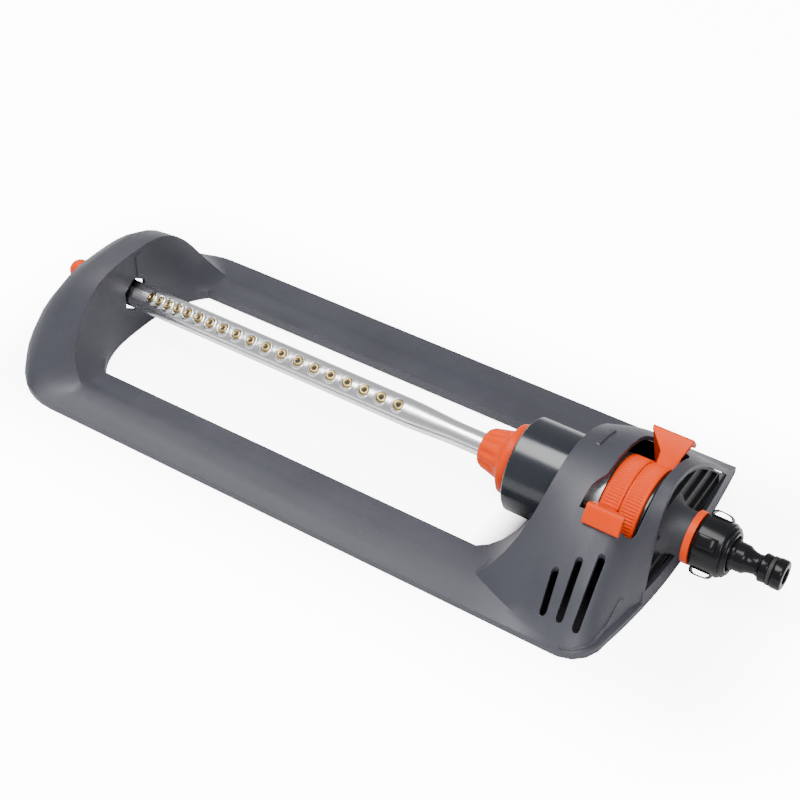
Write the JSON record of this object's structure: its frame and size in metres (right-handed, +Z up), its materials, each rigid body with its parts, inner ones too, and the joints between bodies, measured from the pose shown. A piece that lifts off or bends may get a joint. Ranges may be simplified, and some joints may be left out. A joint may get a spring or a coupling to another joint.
{
  "type": "oscillating garden sprinkler",
  "caption": "Low oscillating lawn sprinkler: moulded frame with arch and hood, swinging aluminium spray tube with brass jets, geared water motor, range rings and hose nipple.",
  "frame": {"origin": "centre of the base rectangle, on the lawn plane, midway between the end plug's tip and the hose nipple's end", "axes": "+X along the spray tube from the end plug to the hose nipple, +Y to the rear rail, +Z up"},
  "size_m": [0.5016, 0.182, 0.0645],
  "materials": {
    "frame_grey": "moulded plastic, satin, faintly grained",
    "casing_dark": "moulded plastic, satin",
    "coupling_black": "moulded plastic, glossy",
    "seal_rubber": "moulded rubber, matt",
    "dial_orange": "moulded plastic, semi-gloss",
    "tube_aluminium": "drawn, bright",
    "nozzle_brass": "turned, bright",
    "screw_steel": "plain bright steel",
    "gear_white": "moulded natural gear plastic"
  },
  "bodies": {
    "frame_body": {"frame": "frame_grey", "end_grille": "frame_grey", "motor_housing": "casing_dark", "motor_cover": "casing_dark", "dial_band": "tube_aluminium", "output_seal": "seal_rubber", "ring_gear": "gear_white", "gear_plate": "gear_white", "jet_plate": "gear_white", "lever_pin": "screw_steel", "ring_keeper": "casing_dark", "end_bush": "gear_white", "inlet_ring": "dial_orange", "inlet_washer": "seal_rubber", "inlet_filter": "screw_steel", "hose_nipple": "coupling_black", "nipple_seal": "seal_rubber", "motor_screw_1": "screw_steel", "motor_screw_2": "screw_steel"},
    "tube_body": {"spray_tube": "tube_aluminium", "nozzle_01": "nozzle_brass", "nozzle_02": "nozzle_brass", "nozzle_03": "nozzle_brass", "nozzle_04": "nozzle_brass", "nozzle_05": "nozzle_brass", "nozzle_06": "nozzle_brass", "nozzle_07": "nozzle_brass", "nozzle_08": "nozzle_brass", "nozzle_09": "nozzle_brass", "nozzle_10": "nozzle_brass", "nozzle_11": "nozzle_brass", "nozzle_12": "nozzle_brass", "nozzle_13": "nozzle_brass", "nozzle_14": "nozzle_brass", "nozzle_15": "nozzle_brass", "nozzle_16": "nozzle_brass", "nozzle_17": "nozzle_brass", "nozzle_18": "nozzle_brass", "nozzle_19": "nozzle_brass", "tube_sleeve": "dial_orange", "sleeve_seal": "seal_rubber", "output_carrier": "gear_white"},
    "end_plug_body": {"end_plug": "dial_orange", "end_plug_seal": "seal_rubber"},
    "planet_1_body": {"planet_gear_1": "gear_white"},
    "planet_2_body": {"planet_gear_2": "gear_white"},
    "planet_3_body": {"planet_gear_3": "gear_white"},
    "turbine_body": {"turbine": "nozzle_brass"},
    "lever_body": {"reversing_lever": "gear_white"},
    "ring_left_body": {"range_ring_left": "dial_orange"},
    "ring_right_body": {"range_ring_right": "dial_orange"},
    "nut_body": {"coupling_nut": "coupling_black"}
  },
  "joints": [
    {"name": "tube_swing", "type": "hinge", "parent": "frame_body", "child": "tube_body", "pos_m": [0.08, 0, 0.03], "axis": [1, 0, 0], "range_deg": [-79, 21]},
    {"name": "end_plug_pull", "type": "slide", "parent": "tube_body", "child": "end_plug_body", "axis": [-1, 0, 0], "range_m": [0, 0.03]},
    {"name": "planet_1_spin", "type": "hinge", "parent": "tube_body", "child": "planet_1_body", "pos_m": [0.1035, 0.01344, 0.03], "axis": [1, 0, 0], "range_deg": [-60, 220]},
    {"name": "planet_2_spin", "type": "hinge", "parent": "tube_body", "child": "planet_2_body", "pos_m": [0.1035, -0.00672, 0.04164], "axis": [1, 0, 0], "range_deg": [-60, 220]},
    {"name": "planet_3_spin", "type": "hinge", "parent": "tube_body", "child": "planet_3_body", "pos_m": [0.1035, -0.00672, 0.01836], "axis": [1, 0, 0], "range_deg": [-60, 220]},
    {"name": "turbine_spin", "type": "hinge", "parent": "frame_body", "child": "turbine_body", "pos_m": [0.1035, 0, 0.03], "axis": [1, 0, 0], "range_deg": [-372, 100]},
    {"name": "lever_flip", "type": "hinge", "parent": "frame_body", "child": "lever_body", "pos_m": [0.1319, 0.012, 0.03], "axis": [1, 0, 0], "range_deg": [0, 16]},
    {"name": "range_left_turn", "type": "hinge", "parent": "frame_body", "child": "ring_left_body", "pos_m": [0.1561, 0, 0.03], "axis": [1, 0, 0], "range_deg": [-30, 0]},
    {"name": "range_right_turn", "type": "hinge", "parent": "frame_body", "child": "ring_right_body", "pos_m": [0.1678, 0, 0.03], "axis": [1, 0, 0], "range_deg": [0, 30]},
    {"name": "nut_turn", "type": "hinge", "parent": "frame_body", "child": "nut_body", "pos_m": [0.2112, 0, 0.03], "axis": [1, 0, 0], "continuous": true}
  ],
  "couplings": [
    {"joint": "planet_1_spin", "follows": "tube_swing", "ratio": -2.75},
    {"joint": "planet_2_spin", "follows": "tube_swing", "ratio": -2.75},
    {"joint": "planet_3_spin", "follows": "tube_swing", "ratio": -2.75},
    {"joint": "turbine_spin", "follows": "tube_swing", "ratio": 4.6667}
  ]
}
